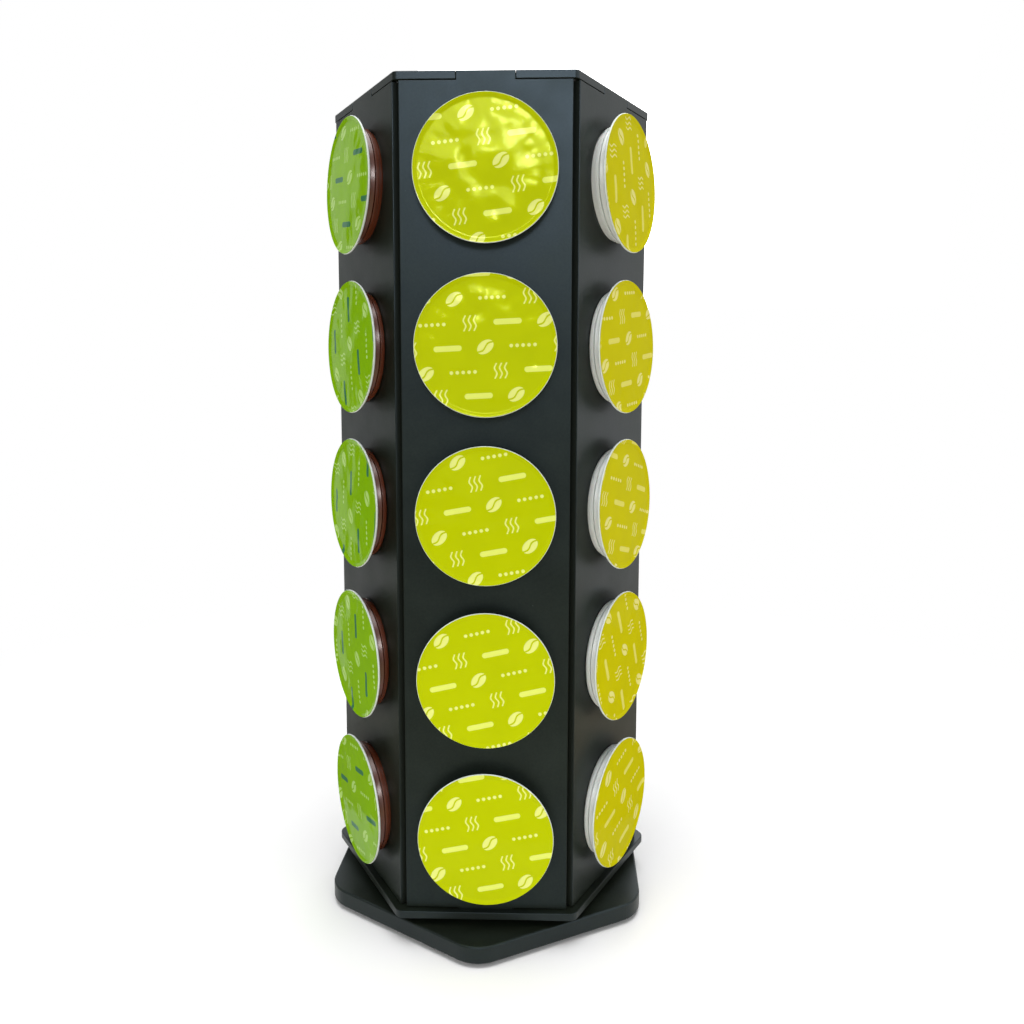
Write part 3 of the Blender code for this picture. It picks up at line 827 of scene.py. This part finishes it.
# How each foil's print lies: turned in radians, shifted in mm
printPlaces = {
    "front": {1: (-0.12, 1.0, 2.5), 2: (-0.05, 7.0, 5.0), 3: (-0.18, 3.0, 0.5), 4: (-0.22, 9.5, 3.5),
              5: (-0.20, 5.5, 6.0)},
    "right": {1: (1.40, 2.0, 3.0), 2: (-0.10, 6.0, 1.0), 3: (0.25, 0.0, 5.0), 4: (1.20, 8.0, 2.0),
              5: (-0.30, 4.0, 4.0)},
    "left": {1: (0.10, 3.0, 1.5), 2: (1.45, 8.5, 4.5), 3: (1.62, 1.0, 6.5), 4: (1.50, 5.0, 2.0),
             5: (-0.15, 10.0, 0.5)},
}
# the lime and the mustard foils are painted copies of one foil, for the front light and the side light
capsuleFinishes = {
    "front": ("whitePolypropylene", "white_cup", "limePrintedFoil", "lime_foil"),
    "right": ("whitePolypropylene", "white_cup", "mustardPrintedFoil", "mustard_foil"),
    "left": ("brownPolypropylene", "brown_cup", "greenPrintedFoil", "green_foil"),
}
for side, (cupMaterial, cupSlot, foilName, foilSlot) in capsuleFinishes.items():
    for row in rows:
        makeCup(side, row, cupMaterial)
        makeFoil(side, row, foilName)
print("capsules made")

# Pivot, seen through the lowest holes of the back

pivot = {
    "boreRadius": 2.8 * mm,     # of the bush and the washer
    "bushRadius": 4.5 * mm,
    "bushFlange": 1.5 * mm,
    "shankRadius": 2.5 * mm,
    "headHeight": 3.0 * mm,
    "socketRadius": 1.9 * mm,   # to the hexagon's corners
    "socketDepth": 1.8 * mm,
    "chamfer": 0.3 * mm, "washerChamfer": 0.12 * mm,
    "steps": 48,
    "sharpAngle": radians(35),
}


def makePivot():
    bore, chamfer = pivot["boreRadius"], pivot["chamfer"]
    low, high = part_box("pivot_bush")
    under = high.z - pivot["bushFlange"]
    profile = [(bore, low.z), (pivot["bushRadius"], low.z), (pivot["bushRadius"], under),
               (high.x - chamfer, under), (high.x, under + chamfer), (high.x, high.z - chamfer),
               (high.x - chamfer, high.z), (bore + chamfer, high.z), (bore, high.z - chamfer)]
    finishPiece("pivotBush", spunBmesh(profile, pivot["steps"]), ["turnedNylon"], "tower",
                ["pivot_bush"], pivot["sharpAngle"])
    low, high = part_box("pivot_washer")
    ease = pivot["washerChamfer"]
    profile = [(bore, low.z), (high.x - ease, low.z), (high.x, low.z + ease), (high.x, high.z - ease),
               (high.x - ease, high.z), (bore + ease, high.z), (bore, high.z - ease)]
    finishPiece("pivotWasher", spunBmesh(profile, pivot["steps"]), ["zincPlatedSteel"], "base",
                ["pivot_washer"], pivot["sharpAngle"])


def makeScrew():
    # a cap screw: its shank and head are turned, then a hexagonal socket is sunk into the head
    low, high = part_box("pivot_screw")
    under, shank, chamfer = high.z - pivot["headHeight"], pivot["shankRadius"], pivot["chamfer"]
    bm = spunBmesh([(0, low.z), (shank - chamfer, low.z), (shank, low.z + chamfer), (shank, under),
                    (high.x - chamfer, under), (high.x, under + chamfer), (high.x, high.z - 2 * chamfer),
                    (high.x - 2 * chamfer, high.z)], pivot["steps"])
    headRim = [edge for edge in bm.edges if edge.is_boundary]
    bmesh.ops.create_circle(bm, segments=6, radius=pivot["socketRadius"],
                            matrix=Matrix.Translation((0, 0, high.z)))
    socketRim = [edge for edge in bm.edges if edge.is_wire]
    bmesh.ops.triangle_fill(bm, use_beauty=True, use_dissolve=False, edges=headRim + socketRim,
                            normal=(0, 0, 1))
    sunk = bmesh.ops.extrude_edge_only(bm, edges=socketRim)["geom"]
    bmesh.ops.translate(bm, verts=[item for item in sunk if isinstance(item, bmesh.types.BMVert)],
                        vec=(0, 0, -pivot["socketDepth"]))
    bmesh.ops.edgeloop_fill(bm, edges=[edge for edge in bm.edges if edge.is_boundary])
    bmesh.ops.recalc_face_normals(bm, faces=bm.faces[:])
    finishPiece("pivotScrew", bm, ["zincPlatedSteel"], "base", ["pivot_screw"],
                pivot["sharpAngle"])


makePivot()
makeScrew()
print("pivot made")

# The glide ring and the insert are hidden, and their CAD shapes are right: they only take a finish
carriedOver = {"glide_ring": "turnedNylon", "threaded_insert": "turnedBrass"}
for nodeName, materialName in carriedOver.items():
    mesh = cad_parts[nodeName].data
    mesh.materials.clear()
    mesh.materials.append(materials[materialName])

# Floor, light and camera

stage = {
    "reach": 6.0, "colour": "#F4F4F4",
    "bounce": "#DDD6C8",        # what the floor throws back onto the object
    "shadowReach": 0.14,        # past this distance from the axis the floor begins to turn plain white
    "whiteReach": 0.50,         # and past this one it is all white
    "dayLight": 0.31,           # the world's light on the object
}
# Cards that only reflections see: a grey-green one stands at the left, and the others lie just over the
# floor round the front, like a table
cards = {
    "leftCard": {"colour": "#4E5F5C", "corners": (
        (-0.60, -1.30, 0.001), (-0.60, 0.42, 0.001), (-0.60, 0.42, 1.30), (-0.60, -1.30, 1.30))},
    "leftTable": {"colour": "#7A786A", "corners": (
        (-0.11, -1.30, 0.001), (-0.60, -1.30, 0.001), (-0.60, 0.42, 0.001), (-0.11, 0.06, 0.001))},
    "rightTable": {"colour": "#B4A68C", "corners": (
        (0.11, -1.30, 0.001), (0.11, 0.05, 0.001), (0.42, 0.36, 0.001), (0.42, -1.30, 0.001))},
    "frontTable": {"colour": "#DDD3B0", "corners": (
        (-0.11, -1.30, 0.001), (-0.11, -0.15, 0.001), (0.11, -0.15, 0.001), (0.11, -1.30, 0.001))},
}
lights = {
    # place, the height on the axis that it aims at, width and height, and power in watts
    "softbox": ((0.0, -1.15, 0.68), 0.2, (0.46, 0.35), 4.3),
    "window": ((0.05, -1.10, 0.60), 0.2, (0.11, 0.11), 1.4),
    "overhead": ((0.0, -0.10, 1.5), 0.1, (1.2, 1.2), 22.0),
    "leftFill": ((-1.2, -0.5, 0.5), 0.17, (0.9, 0.9), 4.4),
    "rightFill": ((1.2, -0.5, 0.5), 0.17, (0.9, 0.9), 4.6),
    "rearFill": ((0.3, 1.3, 0.8), 0.17, (1.0, 1.0), 6.0),
    "frontFill": ((-0.5, -1.0, 0.35), 0.17, (0.4, 0.4), 1.2),
    "lowFill": ((0.0, -0.28, 0.05), 0.06, (0.30, 0.08), 0.14),
}
reflectedLights = ["softbox", "window"]     # these show as highlights and don't light matt surfaces
unseenLights = ["frontFill", "lowFill"]     # neither camera nor reflections see these
camera = {
    "distance": 0.3953,                 # from the turning axis, on plan
    "bearing": 0.0319,                  # round the axis, towards +X
    "height": 0.2335,
    "pitchDown": 0.1028,
    "heading": 0.0294,
    "focalPixels": 885.3,
    "framePixels": 1024,
    "principal": (493, 455),            # of the picture, from its top left
}


def seenDirectly(tree):
    # 1 where a ray comes from the camera or from a reflection, so that these see a plain white surround
    rays = addNode(tree, "ShaderNodeLightPath")
    seen = addNode(tree, "ShaderNodeMath", {
        0: rays.outputs["Is Camera Ray"], 1: rays.outputs["Is Glossy Ray"]}, operation="ADD")
    seen = addNode(tree, "ShaderNodeMath", {
        0: seen.outputs[0], 1: rays.outputs["Is Transmission Ray"]}, operation="ADD", use_clamp=True)
    return seen.outputs[0]


def makeStage():
    bm = bmesh.new()
    bmesh.ops.create_grid(bm, x_segments=1, y_segments=1, size=stage["reach"])
    # Matt white paper, which throws a warmer light back onto the object than it shows
    material, tree, shader = newMaterial("paleFloor", {"Roughness": 0.9, "Specular IOR Level": 0.1})
    floor = newObject("floor", bm, [material])
    bounced = addNode(tree, "ShaderNodeLightPath").outputs["Is Diffuse Ray"]
    colour = addNode(tree, "ShaderNodeMix", {
        "Factor": bounced, mixA: hexColour(stage["colour"]), mixB: hexColour(stage["bounce"])},
        data_type="RGBA")
    tree.links.new(colour.outputs[mixed], shader.inputs["Base Color"])
    # away from the object the floor turns to the same plain white as the background
    place = addNode(tree, "ShaderNodeTexCoord").outputs["Object"]
    away = addNode(tree, "ShaderNodeVectorMath", {0: place}, operation="LENGTH").outputs["Value"]
    fade = addNode(tree, "ShaderNodeMapRange", {
        "Value": away, "From Min": stage["shadowReach"], "From Max": stage["whiteReach"]},
        interpolation_type="SMOOTHSTEP")
    share = addNode(tree, "ShaderNodeMath", {0: fade.outputs["Result"], 1: seenDirectly(tree)},
                    operation="MULTIPLY")
    plain = addNode(tree, "ShaderNodeEmission", {"Strength": 1.0})
    surface = addNode(tree, "ShaderNodeMixShader", {
        0: share.outputs[0], 1: shader.outputs[0], 2: plain.outputs[0]})
    tree.links.new(surface.outputs[0], tree.nodes["Material Output"].inputs["Surface"])


def makeCards():
    for name, card in cards.items():
        # Matt card in one flat colour
        material = newMaterial(name, {
            "Base Color": hexColour(card["colour"]), "Roughness": 0.9, "Specular IOR Level": 0.0})[0]
        bm = bmesh.new()
        bm.faces.new([bm.verts.new(corner) for corner in card["corners"]])
        made = newObject(name, bm, [material])
        made.visible_camera = False
        made.visible_diffuse = False
        made.visible_transmission = False
        made.visible_shadow = False


def makeLights():
    for name, (place, aimHeight, size, power) in lights.items():
        data = bpy.data.lights.new(name, "AREA")
        data.shape = "RECTANGLE"
        data.size, data.size_y = size
        data.energy = power
        lamp = bpy.data.objects.new(name, data)
        lamp.location = place
        aim = Vector((0, 0, aimHeight)) - Vector(place)
        lamp.rotation_euler = aim.to_track_quat("-Z", "Y").to_euler()
        lamp.visible_camera = name not in unseenLights
        lamp.visible_glossy = name not in unseenLights
        lamp.visible_diffuse = name not in reflectedLights
        bpy.context.collection.objects.link(lamp)
    world = bpy.data.worlds.new("studio")
    bpy.context.scene.world = world
    world.use_nodes = True
    tree = world.node_tree
    background = tree.nodes["Background"]
    background.inputs["Color"].default_value = hexColour("#FFFFFF")
    strength = addNode(tree, "ShaderNodeMapRange", {
        "Value": seenDirectly(tree), "To Min": stage["dayLight"], "To Max": 1.0})
    tree.links.new(strength.outputs["Result"], background.inputs["Strength"])


def makeCamera():
    data = bpy.data.cameras.new("camera")
    half = camera["framePixels"] / 2
    data.lens = data.sensor_width * camera["focalPixels"] / camera["framePixels"]
    across, down = camera["principal"]
    data.shift_x = (half - across) / camera["framePixels"]
    data.shift_y = (down - half) / camera["framePixels"]
    made = bpy.data.objects.new("camera", data)
    distance, bearing = camera["distance"], camera["bearing"]
    made.location = (distance * sin(bearing), -distance * cos(bearing), camera["height"])
    made.rotation_euler = (pi / 2 - camera["pitchDown"], 0, camera["heading"])
    bpy.context.collection.objects.link(made)
    bpy.context.scene.camera = made


makeStage()
makeCards()
makeLights()
makeCamera()
bpy.context.scene.view_settings.view_transform = "Standard"
print("stage, lights and camera made")
